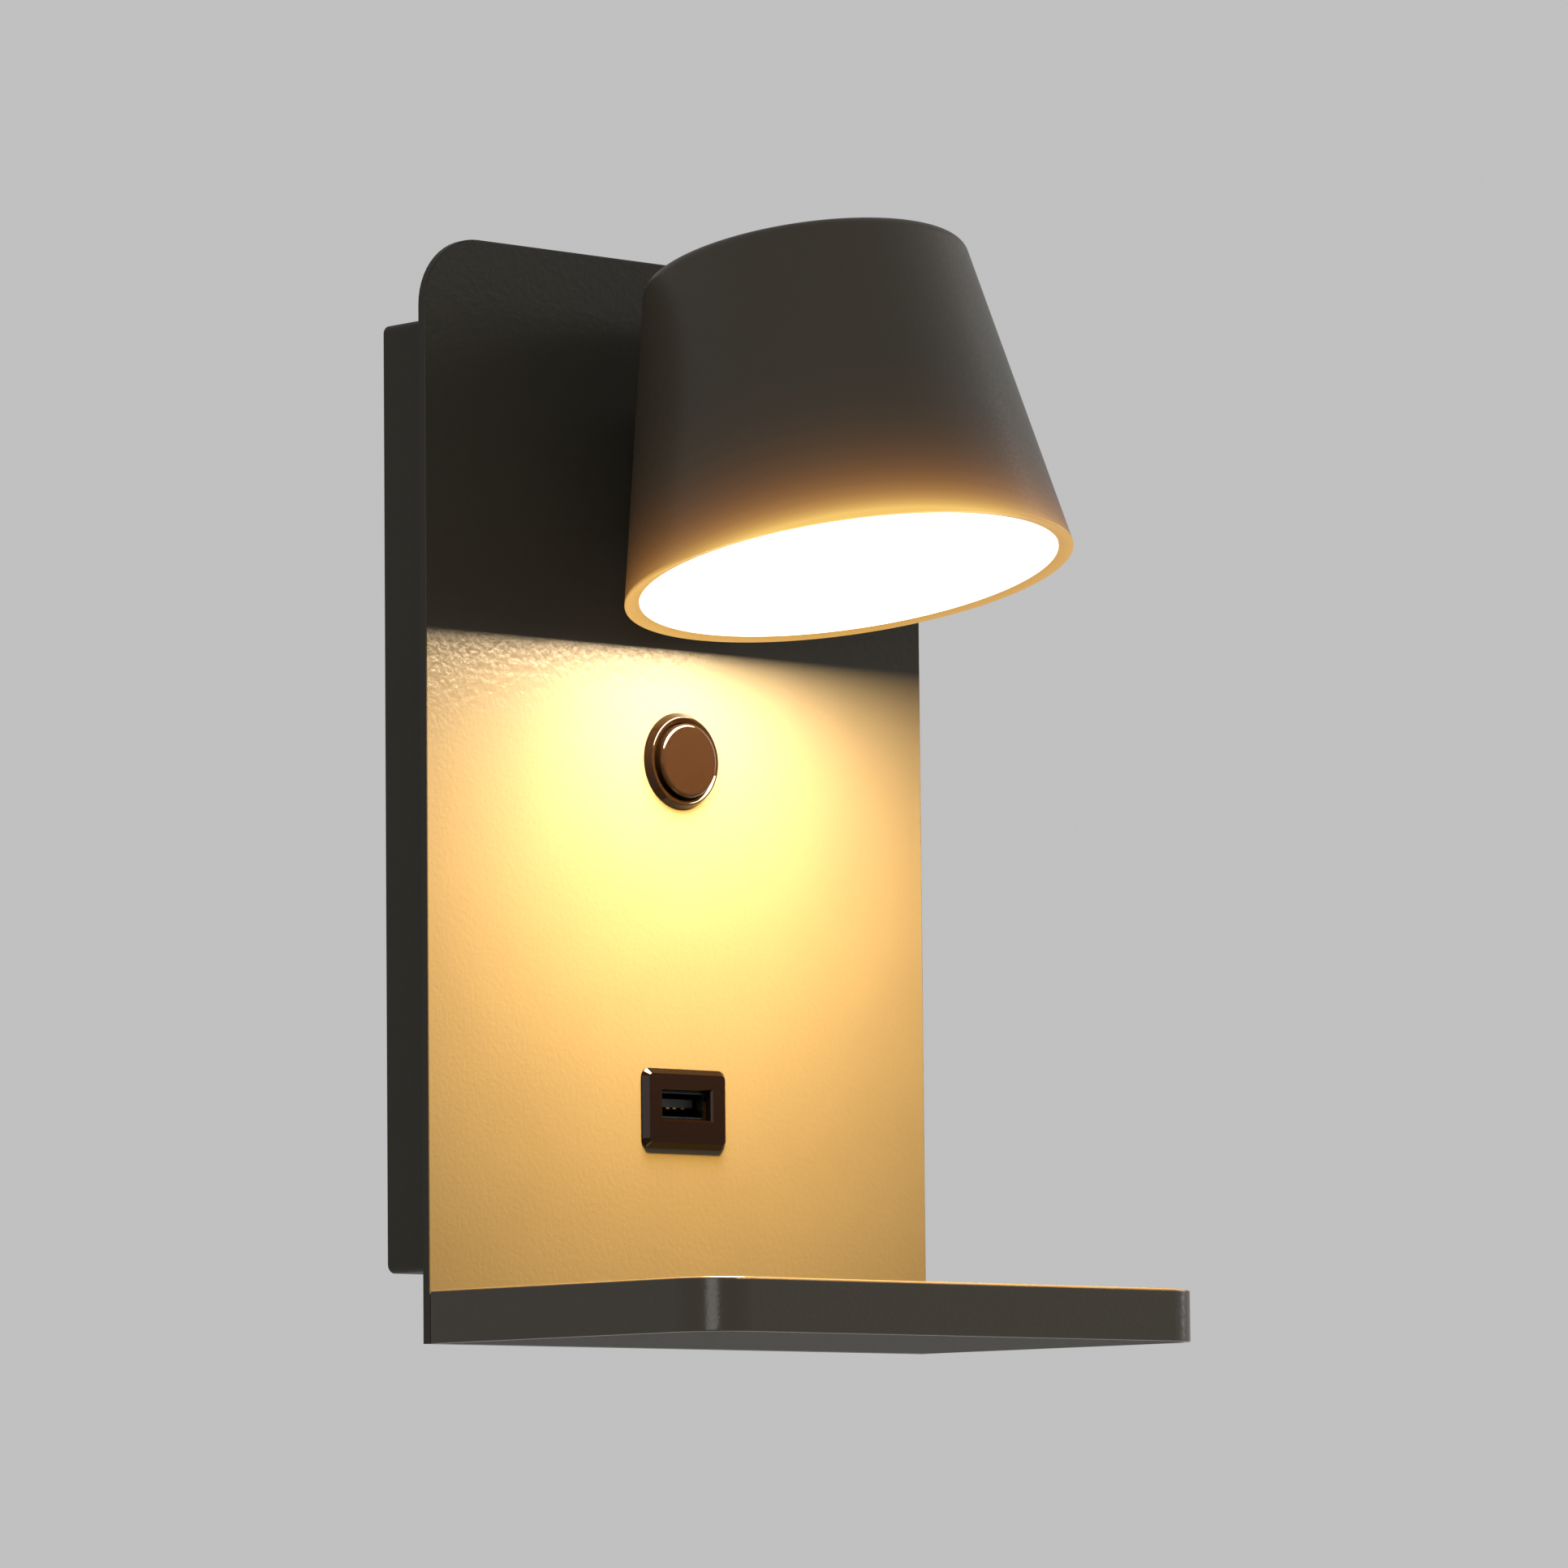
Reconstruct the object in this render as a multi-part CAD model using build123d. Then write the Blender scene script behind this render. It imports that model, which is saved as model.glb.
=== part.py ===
from build123d import *
import os
from math import atan2, cos, degrees, sin, tan

# Wall reading lamp: a face plate on a rear housing, a tapered swivelling head, a push switch,
# a charging socket and a shelf at the foot.
# Pieces are drawn in wall coordinates, in millimetres: x to the right, y up, z out of the wall.
# At the end they are turned so that +Z is up and +Y points into the wall.
# The origin is the middle of the two wall screw slots, on the wall.

# Face plate
plate_width = 150.0
plate_height = 245.0
plate_thickness = 2.0
plate_corner_radius = 16.0
plate_edge_break = 0.4

# Rear housing, a folded pan that is open towards the wall, set in from the face plate's edges
housing_side_margin = 11.0
housing_end_margin = 16.5
housing_depth = 25.0
housing_wall = 1.5
housing_edge_radius = 2.0

# Wall mounting plate inside the back of the housing
mount_sheet = 1.5
mount_gap = 0.2
ear_width = 30.0
ear_length = 14.0
ear_bend_radius = 1.5
ear_relief = 2.0
ear_screw_level = 8.0
slot_spacing = 90.0
slot_width = 5.2
slot_length = 9.0

# Cable entry grommet, placed from the housing's right side
cable_side_distance = 26.0
cable_y = -15.0
cable_bore_radius = 4.5
grommet_sleeve_radius = 7.0
grommet_flange_radius = 9.5
grommet_flange = 1.6
grommet_neck_radius = 6.2
grommet_neck_length = 4.0

# Mains terminal block and earth stud on the wall mounting plate
terminal_side_distance = 27.0
terminal_y = 26.0
terminal_pole_pitch = 11.0
terminal_depth = 17.0
terminal_height = 13.0
terminal_poles = 3
terminal_wire_radius = 2.2
terminal_wire_level = 4.5
terminal_well_radius = 2.1
terminal_well_offset = 4.6
terminal_screw_length = 4.5
earth_side_distance = 26.0
earth_y = 4.0
earth_stud_length = 10.0

# Fasteners
m4_radius = 2.0
m4_nut_flats = 7.0
m4_nut_height = 3.2
m3_radius = 1.5
head_radius_ratio = 1.9
head_height_ratio = 1.1
thread_gap = 0.05
hole_gap = 0.25
screw_end = 1.5
stud_side_distance = 14.0
stud_end_distance = 18.0

# Shelf, a folded tray closed by a base panel
shelf_depth = 91.6
shelf_height = 11.6
shelf_corner_radius = 11.5
shelf_skin = 1.5
shelf_edge_break = 0.6
shelf_base_edge = 0.3
shelf_rear_edge = 0.8
shelf_base_gap = 0.1
shelf_screw_x = 45.0
shelf_nut_size = 5.5
shelf_nut_height = 3.0

# Lamp head, a cone whose rear line runs parallel to the face plate, placed from the plate's top edge
shade_rim_radius = 50.2
shade_top_radius = 36.24
shade_height = 72.35
shade_wall = 3.4
shade_top_edge = 3.0
shade_rim_edge = 0.3
shade_gap = 7.0
rim_drop = 86.1
shade_rim_width = 3.3
diffuser_thickness = 2.6
diffuser_recess = 0.4
diffuser_gap = 0.15
diffuser_edge = 0.3
rim_bevel_width = 2.8
rim_bevel_depth = 0.5

# Light engine inside the head
spreader_level = 18.0
spreader_thickness = 4.0
spreader_gap = 0.8
post_radius = 4.5
post_edge = 5.0
post_count = 3
post_pilot_depth = 6.0
board_margin = 13.1
board_thickness = 1.6
board_screw_edge = 15.2
board_screw_count = 3
board_screw_angle = 90.0
chip_size = 2.8
chip_height = 0.7
chip_edge = 3.5
chip_ring_step = 8.0
chip_ring_count = 3
first_ring_chip_count = 6
reflector_wall = 1.2
reflector_gap = 0.4

# Swivel between the face plate and the head
swivel_rise = 38.5
swivel_range = 165.0
swivel_gap = 0.05
nipple_radius = 5.0
nipple_bore_radius = 3.5
nipple_flange_radius = 7.5
nipple_flange = 1.5
bush_radius = 6.5
bush_flange_radius = 8.6
bush_flange = 1.0
friction_washer_radius = 9.5
friction_washer = 1.0
spring_washer_radius = 8.5
spring_washer_sheet = 0.8
spring_washer_rise = 0.5
swivel_nut_flats = 14.0
lock_nut_height = 7.0
lock_nut_collar_radius = 6.3
lock_nut_collar = 2.5
shade_nut_height = 4.0
boss_rim = 1.95
boss_fillet = 1.0
pad_radius = 9.5
pad_height = 1.6
stop_bush_gap = 1.15
stop_pin_radius = 1.25
stop_pin_engagement = 2.0
stop_groove_gap = 0.3
stop_slack = 1.5

# Push switch
switch_y = 9.7
bezel_radius = 11.0
bezel_crest_radius = 9.9
bezel_crest_rise = 2.0
bezel_dish_rise = 1.2
bezel_crest_edge = 0.35
cap_radius = 8.4
cap_rise = 3.3
cap_thickness = 4.2
cap_edge = 0.9
cap_gap = 0.3
barrel_wall = 0.9
barrel_length = 10.0
switch_travel = 2.0
switch_stem_radius = 3.0
switch_collar_step = 0.7
switch_collar = 1.5
switch_guide_length = 6.0
switch_spigot_length = 3.0
switch_body_floor = 1.2
switch_tab_width = 4.8
switch_tab_thickness = 0.8
switch_tab_length = 3.0
switch_tab_offset = 5.5
switch_nut_flats = 23.0
switch_nut_height = 3.0
spring_wire_radius = 0.3
spring_turns = 4

# Charging socket, placed from the face plate's lower edge
usb_rise = 53.7
usb_bezel_width = 25.2
usb_bezel_height = 17.9
usb_bezel_rise = 1.6
usb_bezel_bevel = 1.2
usb_corner_radius = 2.2
usb_body_width = 21.0
usb_body_height = 13.6
usb_body_length = 13.0
usb_window_width = 14.6
usb_window_height = 6.7
usb_window_bevel = 0.4
usb_window_depth = 2.0
usb_window_lift = 0.9
usb_shell_width = 13.2
usb_shell_height = 5.9
usb_shell_sheet = 0.35
usb_tongue_side_gap = 0.7
usb_tongue_thickness = 1.84
usb_tongue_lift = 0.6
usb_tongue_setback = 2.6
usb_contact_width = 1.0
usb_contact_sheet = 0.25
usb_contact_places = (-3.5, -1.0, 1.0, 3.5)
usb_board_width = 34.0
usb_board_height = 22.0
usb_board_thickness = 1.6
usb_barb_length = 4.0
usb_barb_width = 6.0
usb_barb_reach = 1.0
usb_fit_gap = 0.1
usb_part_height = 8.0
usb_transformer_width = 13.0
usb_transformer_height = 14.0
usb_capacitor_radius = 3.5
usb_capacitor_spacing = 8.5
usb_part_x = 6.0

# Light driver
driver_wall_gap = 3.5
driver_width = 36.0
driver_height = 100.0
driver_depth = 18.0
driver_edge = 1.5
driver_tab_width = 12.0
driver_tab_length = 9.0
driver_tab_sheet = 1.5

# Housing size, and places across it that are taken from its sides and ends
housing_width = plate_width - 2 * housing_side_margin
housing_height = plate_height - 2 * housing_end_margin
cable_x = housing_width / 2 - cable_side_distance
terminal_x = housing_width / 2 - terminal_side_distance
earth_x = housing_width / 2 - earth_side_distance
stud_x = housing_width / 2 - stud_side_distance
stud_y = housing_height / 2 - stud_end_distance
driver_x = housing_wall + driver_wall_gap + driver_width / 2 - housing_width / 2

# Levels that the pieces share
plate_back = housing_depth
plate_front = plate_back + plate_thickness
housing_floor = housing_depth - housing_wall
mount_width = housing_width - 2 * (housing_wall + mount_gap)
mount_height = housing_height - 2 * (housing_wall + mount_gap)
shelf_bottom = -plate_height / 2
shelf_top = shelf_bottom + shelf_height
shelf_base_level = shelf_bottom + shelf_skin
shelf_screw_level = (shelf_base_level + shelf_top - shelf_skin) / 2

# The head leans by the cone's own half angle, so its rear line is upright
rim_level = plate_height / 2 - rim_drop
shade_lean = atan2(shade_rim_radius - shade_top_radius, shade_height)
rim_centre_y = rim_level + shade_rim_radius * sin(shade_lean)
rim_centre_z = plate_front + shade_gap + shade_rim_radius * cos(shade_lean)
head_frame = Plane(
    origin=(0, rim_centre_y, rim_centre_z),
    x_dir=(1, 0, 0),
    z_dir=(0, cos(shade_lean), -sin(shade_lean)),
)
diffuser_back = diffuser_recess + diffuser_thickness
diffuser_seat_radius = shade_rim_radius - shade_rim_width
diffuser_radius = diffuser_seat_radius - diffuser_gap
spreader_top = spreader_level + spreader_thickness
board_level = spreader_level - board_thickness

# Swivel sizes and levels
swivel_y = rim_level + swivel_rise
stop_circle = bush_flange_radius + stop_bush_gap + stop_pin_radius
boss_radius = stop_circle + stop_pin_radius + stop_groove_gap + boss_rim
boss_back = plate_front + bush_flange + swivel_gap
pad_level = plate_front + shade_gap + shade_wall + pad_height
friction_washer_back = housing_floor - friction_washer
spring_washer_front = friction_washer_back - swivel_gap
lock_nut_front = spring_washer_front - spring_washer_sheet - spring_washer_rise
lock_nut_back = lock_nut_front - lock_nut_height
nipple_back = lock_nut_back - screw_end
nipple_front = pad_level + shade_nut_height + screw_end

# Switch sizes and levels
bore_radius = cap_radius + cap_gap
switch_collar_radius = switch_stem_radius + switch_collar_step
barrel_radius = bore_radius + barrel_wall
barrel_back = plate_front - barrel_length
cap_front = plate_front + cap_rise
cap_back = cap_front - cap_thickness
spigot_front = barrel_back + switch_spigot_length
guide_back = spigot_front - switch_guide_length
chamber_depth = switch_collar + switch_travel + 2 * cap_gap
chamber_back = guide_back - chamber_depth
switch_body_back = chamber_back - switch_body_floor

# Socket sizes and levels
usb_y = usb_rise - plate_height / 2
usb_tongue_width = usb_shell_width - 2 * (usb_shell_sheet + usb_tongue_side_gap)
usb_front = plate_front + usb_bezel_rise
usb_body_back = plate_front - usb_body_length
usb_shell_front = usb_front - usb_window_depth
usb_tongue_front = usb_shell_front - usb_tongue_setback
usb_window_y = usb_y + usb_window_lift
usb_board_back = usb_body_back - usb_board_thickness

# Room that a cutter takes past the face it opens
overcut = 1.0


def disc(radius, start, end, x=0.0, y=0.0):
    """Round bar along z from one level to another."""
    bar = Cylinder(radius, end - start, align=(Align.CENTER, Align.CENTER, Align.MIN))
    return Pos(x, y, start) * bar


def tube(outer, inner, start, end, x=0.0, y=0.0):
    """Round bar with a round hole along z."""
    return disc(outer, start, end, x, y) - disc(inner, start - overcut, end + overcut, x, y)


def block(width, height, start, end, x=0.0, y=0.0):
    """Rectangular bar along z from one level to another."""
    bar = Box(width, height, end - start, align=(Align.CENTER, Align.CENTER, Align.MIN))
    return Pos(x, y, start) * bar


def hexagon(flats, bore, start, end, x=0.0, y=0.0):
    """Hexagon nut along z."""
    outline = RegularPolygon(flats / 2, 6, major_radius=False) - Circle(bore)
    return Pos(x, y, start) * extrude(outline, end - start)


def turned(points):
    """Solid of revolution about z from its half section, given as radius and level."""
    section = make_face(Polyline(*points, close=True))
    return revolve(Plane.XZ * section, Axis.Z)


def pan_screw(radius, length):
    """Pan head screw: the shank runs along +z from its seat at z = 0, the head lies below it."""
    head_radius = radius * head_radius_ratio
    head_height = radius * head_height_ratio
    head = disc(head_radius, -head_height, 0)
    crown = head.faces().sort_by(Axis.Z)[0].edges()
    head = fillet(crown, head_height / 2)
    return head + disc(radius, 0, length)


def group(solids):
    """Several separate solids in one node."""
    return Compound(children=list(solids))


def cone_radius(level):
    """Outer radius of the shade at a height above its rim."""
    return shade_rim_radius - level * tan(shade_lean)


def cavity_radius(level):
    """Inner radius of the shade at a height above its rim."""
    return cone_radius(level) - shade_wall / cos(shade_lean)


def in_head(piece):
    """Place a piece drawn upright on the rim's centre into the leaning head."""
    return head_frame.location * piece


def wall_plate():
    """Steel plate screwed to the wall, with two ears that the housing is screwed to."""
    sheet = extrude(RectangleRounded(mount_width, mount_height, housing_edge_radius), mount_sheet)
    outer_bend = ear_bend_radius + mount_sheet
    notch_width = ear_width + 2 * ear_relief
    for side in (1, -1):
        notch_y = side * mount_height / 2
        sheet -= block(notch_width, 2 * outer_bend, -overcut, mount_sheet + overcut, 0, notch_y)
    strap = block(ear_width, mount_height, 0, ear_length)
    folds = strap.edges().filter_by(Axis.X).group_by(Axis.Z)[0]
    strap = fillet(folds, outer_bend)
    hollow = block(ear_width + overcut, mount_height - 2 * mount_sheet, mount_sheet, ear_length + overcut)
    creases = hollow.edges().filter_by(Axis.X).group_by(Axis.Z)[0]
    plate = sheet + (strap - fillet(creases, ear_bend_radius))
    for side in (1, -1):
        slot = SlotOverall(slot_length, slot_width, rotation=90)
        plate -= Pos(0, side * slot_spacing / 2, -overcut) * extrude(slot, mount_sheet + 2 * overcut)
        hole = Rot(-90 * side, 0, 0) * disc(m4_radius + thread_gap, 0, mount_height)
        plate -= Pos(0, 0, ear_screw_level) * hole
    plate -= disc(grommet_sleeve_radius + thread_gap, -overcut, mount_sheet + overcut, cable_x, cable_y)
    fixing_x = terminal_x + terminal_pole_pitch / 2
    plate -= disc(m3_radius + thread_gap, -overcut, mount_sheet + overcut, fixing_x, terminal_y)
    return plate


def cable_grommet():
    """Rubber grommet in the wall plate, flush with the wall, for the mains cable."""
    flange_top = mount_sheet + grommet_flange
    points = (
        (cable_bore_radius, 0),
        (grommet_sleeve_radius, 0),
        (grommet_sleeve_radius, mount_sheet),
        (grommet_flange_radius, mount_sheet),
        (grommet_flange_radius, flange_top),
        (grommet_sleeve_radius, flange_top),
        (grommet_neck_radius, flange_top + grommet_neck_length),
        (cable_bore_radius, flange_top + grommet_neck_length),
    )
    return Pos(cable_x, cable_y, 0) * turned(points)


def terminal_places():
    """Middle of each pole of the terminal block, along x."""
    first = terminal_x - terminal_pole_pitch * (terminal_poles - 1) / 2
    return [first + terminal_pole_pitch * pole for pole in range(terminal_poles)]


def terminal_block():
    """Screw terminal block that the mains cable is connected to."""
    top = mount_sheet + terminal_height
    wire_level = mount_sheet + terminal_wire_level
    width = terminal_pole_pitch * terminal_poles
    body = block(width, terminal_depth, mount_sheet, top, terminal_x, terminal_y)
    body = fillet(body.edges().filter_by(Axis.Z), screw_end)
    wire = Rot(-90, 0, 0) * disc(terminal_wire_radius, -terminal_depth, terminal_depth)
    for x in terminal_places():
        body -= Pos(x, terminal_y, wire_level) * wire
        for side in (1, -1):
            well_y = terminal_y + side * terminal_well_offset
            body -= disc(terminal_well_radius, wire_level, top + overcut, x, well_y)
    fixing_x = terminal_x + terminal_pole_pitch / 2
    return body - disc(m3_radius + thread_gap, 0, top + overcut, fixing_x, terminal_y)


def terminal_screws():
    """Clamping screws in the wells of the terminal block."""
    start = mount_sheet + terminal_wire_level + terminal_wire_radius
    screws = []
    for x in terminal_places():
        for side in (1, -1):
            well_y = terminal_y + side * terminal_well_offset
            radius = terminal_well_radius - thread_gap
            screws.append(disc(radius, start, start + terminal_screw_length, x, well_y))
    return group(screws)


def terminal_fixing_screw():
    """Screw that holds the terminal block on the wall plate."""
    length = terminal_height + mount_sheet
    fixing_x = terminal_x + terminal_pole_pitch / 2
    screw = Rot(180, 0, 0) * pan_screw(m3_radius, length - thread_gap)
    return Pos(fixing_x, terminal_y, mount_sheet + terminal_height) * screw


def earth_stud():
    """Welded stud for the earth wire."""
    return disc(m4_radius, mount_sheet, mount_sheet + earth_stud_length, earth_x, earth_y)


def earth_nut():
    """Nut on the earth stud."""
    end = mount_sheet + m4_nut_height
    return hexagon(m4_nut_flats, m4_radius + thread_gap, mount_sheet, end, earth_x, earth_y)


def stud_places():
    """Places of the four studs that hold the face plate on the housing."""
    return [(x, y) for x in (-stud_x, stud_x) for y in (-stud_y, stud_y)]


def driver_screw_places():
    """Places of the two screws that hold the light driver."""
    reach = driver_height / 2 + driver_tab_length / 2
    return [(driver_x, -reach), (driver_x, reach)]


def socket_cut(start, end):
    """Cutter for the charging socket's body."""
    width = usb_body_width + 2 * usb_fit_gap
    height = usb_body_height + 2 * usb_fit_gap
    return block(width, height, start, end, 0, usb_y)


def housing():
    """Folded pan behind the face plate, open towards the wall."""
    outer = extrude(RectangleRounded(housing_width, housing_height, housing_edge_radius), housing_depth)
    inner = block(
        housing_width - 2 * housing_wall, housing_height - 2 * housing_wall, -overcut, housing_floor
    )
    pan = outer - inner
    start = housing_floor - overcut
    end = housing_depth + overcut
    pan -= disc(bush_radius + thread_gap, start, end, 0, swivel_y)
    pan -= disc(stop_pin_radius + thread_gap, start, end, 0, swivel_y + stop_circle)
    pan -= disc(barrel_radius + thread_gap, start, end, 0, switch_y)
    pan -= socket_cut(start, end)
    for x, y in stud_places():
        pan -= disc(m4_radius + hole_gap, start, end, x, y)
    for x, y in driver_screw_places():
        pan -= disc(m3_radius + thread_gap, start, end, x, y)
    side_hole = Rot(-90, 0, 0) * disc(m4_radius + hole_gap, -housing_height, housing_height)
    return pan - Pos(0, 0, ear_screw_level) * side_hole


def housing_screws():
    """Screws through the top and the bottom of the housing into the wall plate's ears."""
    length = housing_wall + mount_gap + mount_sheet + screw_end
    screws = []
    for side in (1, -1):
        screw = Rot(90 * side, 0, 0) * pan_screw(m4_radius, length)
        screws.append(Pos(0, side * housing_height / 2, ear_screw_level) * screw)
    return group(screws)


def face_plate():
    """Sheet that carries the head, the switch, the socket and the shelf."""
    outline = Rectangle(plate_width, plate_height)
    outline = fillet(outline.vertices().group_by(Axis.Y)[-1], plate_corner_radius)
    sheet = Pos(0, 0, plate_back) * extrude(outline, plate_thickness)
    sheet = fillet(sheet.faces().sort_by(Axis.Z)[-1].edges(), plate_edge_break)
    start = plate_back - overcut
    end = plate_front + overcut
    sheet -= disc(bush_radius + thread_gap, start, end, 0, swivel_y)
    sheet -= disc(stop_pin_radius + thread_gap, start, end, 0, swivel_y + stop_circle)
    sheet -= disc(barrel_radius + thread_gap, start, end, 0, switch_y)
    sheet -= socket_cut(start, end)
    for side in (1, -1):
        sheet -= disc(m3_radius + hole_gap, start, end, side * shelf_screw_x, shelf_screw_level)
    return sheet


def plate_studs():
    """Studs welded to the back of the face plate."""
    end = housing_floor - m4_nut_height - screw_end
    return group(disc(m4_radius, end, plate_back, x, y) for x, y in stud_places())


def plate_nuts():
    """Nuts that clamp the housing on the face plate's studs."""
    start = housing_floor - m4_nut_height
    bore = m4_radius + thread_gap
    return group(hexagon(m4_nut_flats, bore, start, housing_floor, x, y) for x, y in stud_places())


def shelf_outline(inset):
    """Plan of the shelf, drawn in from its edges by an inset."""
    outline = Pos(0, shelf_depth / 2) * Rectangle(plate_width - 2 * inset, shelf_depth - 2 * inset)
    front = outline.vertices().group_by(Axis.Y)[-1]
    return fillet(front, shelf_corner_radius - inset)


def shelf_plane(level):
    """Plane at a height, facing down, with its second axis running out of the wall."""
    return Plane(origin=(0, level, plate_front), x_dir=(1, 0, 0), z_dir=(0, -1, 0))


def shelf():
    """Folded tray with skirts on all four sides."""
    plan = shelf_outline(0)
    plan = fillet(plan.vertices().group_by(Axis.Y)[0], shelf_rear_edge)
    tray = extrude(shelf_plane(shelf_top) * plan, shelf_height)
    tray = fillet(tray.faces().sort_by(Axis.Y)[-1].edges(), shelf_edge_break)
    tray = fillet(tray.faces().sort_by(Axis.Y)[0].edges(), shelf_base_edge)
    room = shelf_height - shelf_skin + overcut
    tray -= extrude(shelf_plane(shelf_top - shelf_skin) * shelf_outline(shelf_skin), room)
    for side in (1, -1):
        start = plate_front - overcut
        end = plate_front + shelf_skin + overcut
        tray -= disc(m3_radius + hole_gap, start, end, side * shelf_screw_x, shelf_screw_level)
    return tray


def shelf_base():
    """Panel that closes the underside of the shelf, flush with the ends of the skirts."""
    inset = shelf_skin + shelf_base_gap
    return extrude(shelf_plane(shelf_base_level) * shelf_outline(inset), shelf_skin)


def shelf_nuts():
    """Square weld nuts behind the rear skirt of the shelf."""
    start = plate_front + shelf_skin
    end = start + shelf_nut_height
    nuts = []
    for side in (1, -1):
        x = side * shelf_screw_x
        nut = block(shelf_nut_size, shelf_nut_size, start, end, x, shelf_screw_level)
        bore = disc(m3_radius + thread_gap, start - overcut, end + overcut, x, shelf_screw_level)
        nuts.append(nut - bore)
    return group(nuts)


def shelf_screws():
    """Screws through the back of the face plate into the shelf's weld nuts."""
    length = plate_thickness + shelf_skin + shelf_nut_height + screw_end
    places = [(side * shelf_screw_x, shelf_screw_level, plate_back) for side in (1, -1)]
    return group(Pos(*place) * pan_screw(m3_radius, length) for place in places)


def swivel_bush():
    """Flanged plastic bush in the face plate that the swivel turns in."""
    flange_front = plate_front + bush_flange
    sleeve = disc(bush_radius, housing_floor, flange_front, 0, swivel_y)
    flange = disc(bush_flange_radius, plate_front, flange_front, 0, swivel_y)
    bore = disc(nipple_radius + swivel_gap, housing_floor - overcut, flange_front + overcut, 0, swivel_y)
    return sleeve + flange - bore


def stop_pin():
    """Pin in the face plate that runs in the groove of the head's boss."""
    return disc(stop_pin_radius, housing_floor, boss_back + stop_pin_engagement, 0, swivel_y + stop_circle)


def friction_washer():
    """Plastic washer on the back of the housing's front wall."""
    bore = nipple_radius + hole_gap
    return tube(friction_washer_radius, bore, friction_washer_back, housing_floor, 0, swivel_y)


def spring_washer():
    """Disc spring that presses the swivel together."""
    bore = nipple_radius + thread_gap
    front = spring_washer_front
    inner_front = front - spring_washer_rise
    points = (
        (bore, inner_front),
        (spring_washer_radius, front),
        (spring_washer_radius, front - spring_washer_sheet),
        (bore, inner_front - spring_washer_sheet),
    )
    return Pos(0, swivel_y, 0) * turned(points)


def lock_nut():
    """Nut with a locking collar on the swivel's inner end."""
    hex_back = lock_nut_back + lock_nut_collar
    bore = nipple_radius + thread_gap
    nut = hexagon(swivel_nut_flats, bore, hex_back, lock_nut_front, 0, swivel_y)
    return nut + tube(lock_nut_collar_radius, bore, lock_nut_back, hex_back, 0, swivel_y)


def swivel_nipple():
    """Hollow threaded tube that the head turns on, with a flange seated in the head's boss."""
    nipple = disc(nipple_radius, nipple_back, nipple_front, 0, swivel_y)
    nipple += disc(nipple_flange_radius, boss_back, boss_back + nipple_flange, 0, swivel_y)
    return nipple - disc(nipple_bore_radius, nipple_back - overcut, nipple_front + overcut, 0, swivel_y)


def shade_nut():
    """Nut that clamps the shade on the nipple, from inside the head."""
    bore = nipple_radius + thread_gap
    return hexagon(swivel_nut_flats, bore, pad_level, pad_level + shade_nut_height, 0, swivel_y)


def spreader_radius():
    """Radius of the heat spreader, which clears the shade all round."""
    return cavity_radius(spreader_top) - spreader_gap


def board_radius():
    """Radius of the light board, which leaves room on the heat spreader for its screws."""
    return spreader_radius() - board_margin


def post_places():
    """Middles of the posts that carry the heat spreader, one of them at the front."""
    return PolarLocations(spreader_radius() - post_edge, post_count, start_angle=-90)


def shade_body():
    """Cone with rounded edges, before it is hollowed."""
    section = make_face(
        Polyline(
            (0, 0),
            (shade_rim_radius, 0),
            (shade_top_radius, shade_height),
            (0, shade_height),
            close=True,
        )
    )
    rim = section.vertices().sort_by(Axis.X)[-1]
    section = fillet(rim, shade_rim_edge)
    top = section.vertices().sort_by(Axis.Y)[-2:].sort_by(Axis.X)[-1]
    section = fillet(top, shade_top_edge)
    return revolve(Plane.XZ * section, Axis.Z)


def shade_cavity():
    """Hollow of the shade: the bevelled rim, the diffuser's seat and the room above it."""
    ceiling = shade_height - shade_wall
    points = (
        (0, 0),
        (diffuser_seat_radius + rim_bevel_width, 0),
        (diffuser_seat_radius, rim_bevel_depth),
        (diffuser_seat_radius, diffuser_back),
        (cavity_radius(diffuser_back), diffuser_back),
        (cavity_radius(ceiling), ceiling),
        (0, ceiling),
    )
    return turned(points)


def stop_groove():
    """Cutter for the curved groove that the stop pin runs in."""
    reach = swivel_range + stop_slack
    width = 2 * (stop_pin_radius + stop_groove_gap)
    path = CenterArc((0, 0), stop_circle, 90 - reach, 2 * reach)
    depth = stop_pin_engagement + stop_groove_gap
    return Pos(0, swivel_y, boss_back) * extrude(SlotArc(path, width), depth)


def shade():
    """Tapered cup of the head, with a boss for the swivel and posts for the heat spreader."""
    boss_end = plate_front + shade_gap + shade_wall
    body = in_head(shade_body())
    body += disc(boss_radius, boss_back, boss_end, 0, swivel_y)
    boss_wall = body.faces().filter_by(GeomType.CYLINDER).sort_by(Axis.Z)[0]
    joint_line = boss_wall.edges().sort_by(Axis.Z)[-1]
    body = fillet(joint_line, boss_fillet)
    room = in_head(shade_cavity())
    room -= disc(pad_radius, boss_back, pad_level, 0, swivel_y)
    post = disc(post_radius, spreader_top, shade_height)
    for place in post_places():
        room -= in_head(place * post)
    body -= room
    body -= disc(nipple_radius + thread_gap, boss_back - overcut, pad_level + overcut, 0, swivel_y)
    seat = nipple_flange_radius + thread_gap
    body -= disc(seat, boss_back - overcut, boss_back + nipple_flange, 0, swivel_y)
    body -= stop_groove()
    pilot = disc(m3_radius + thread_gap, spreader_top - overcut, spreader_top + post_pilot_depth)
    for place in post_places():
        body -= in_head(place * pilot)
    return body


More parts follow.
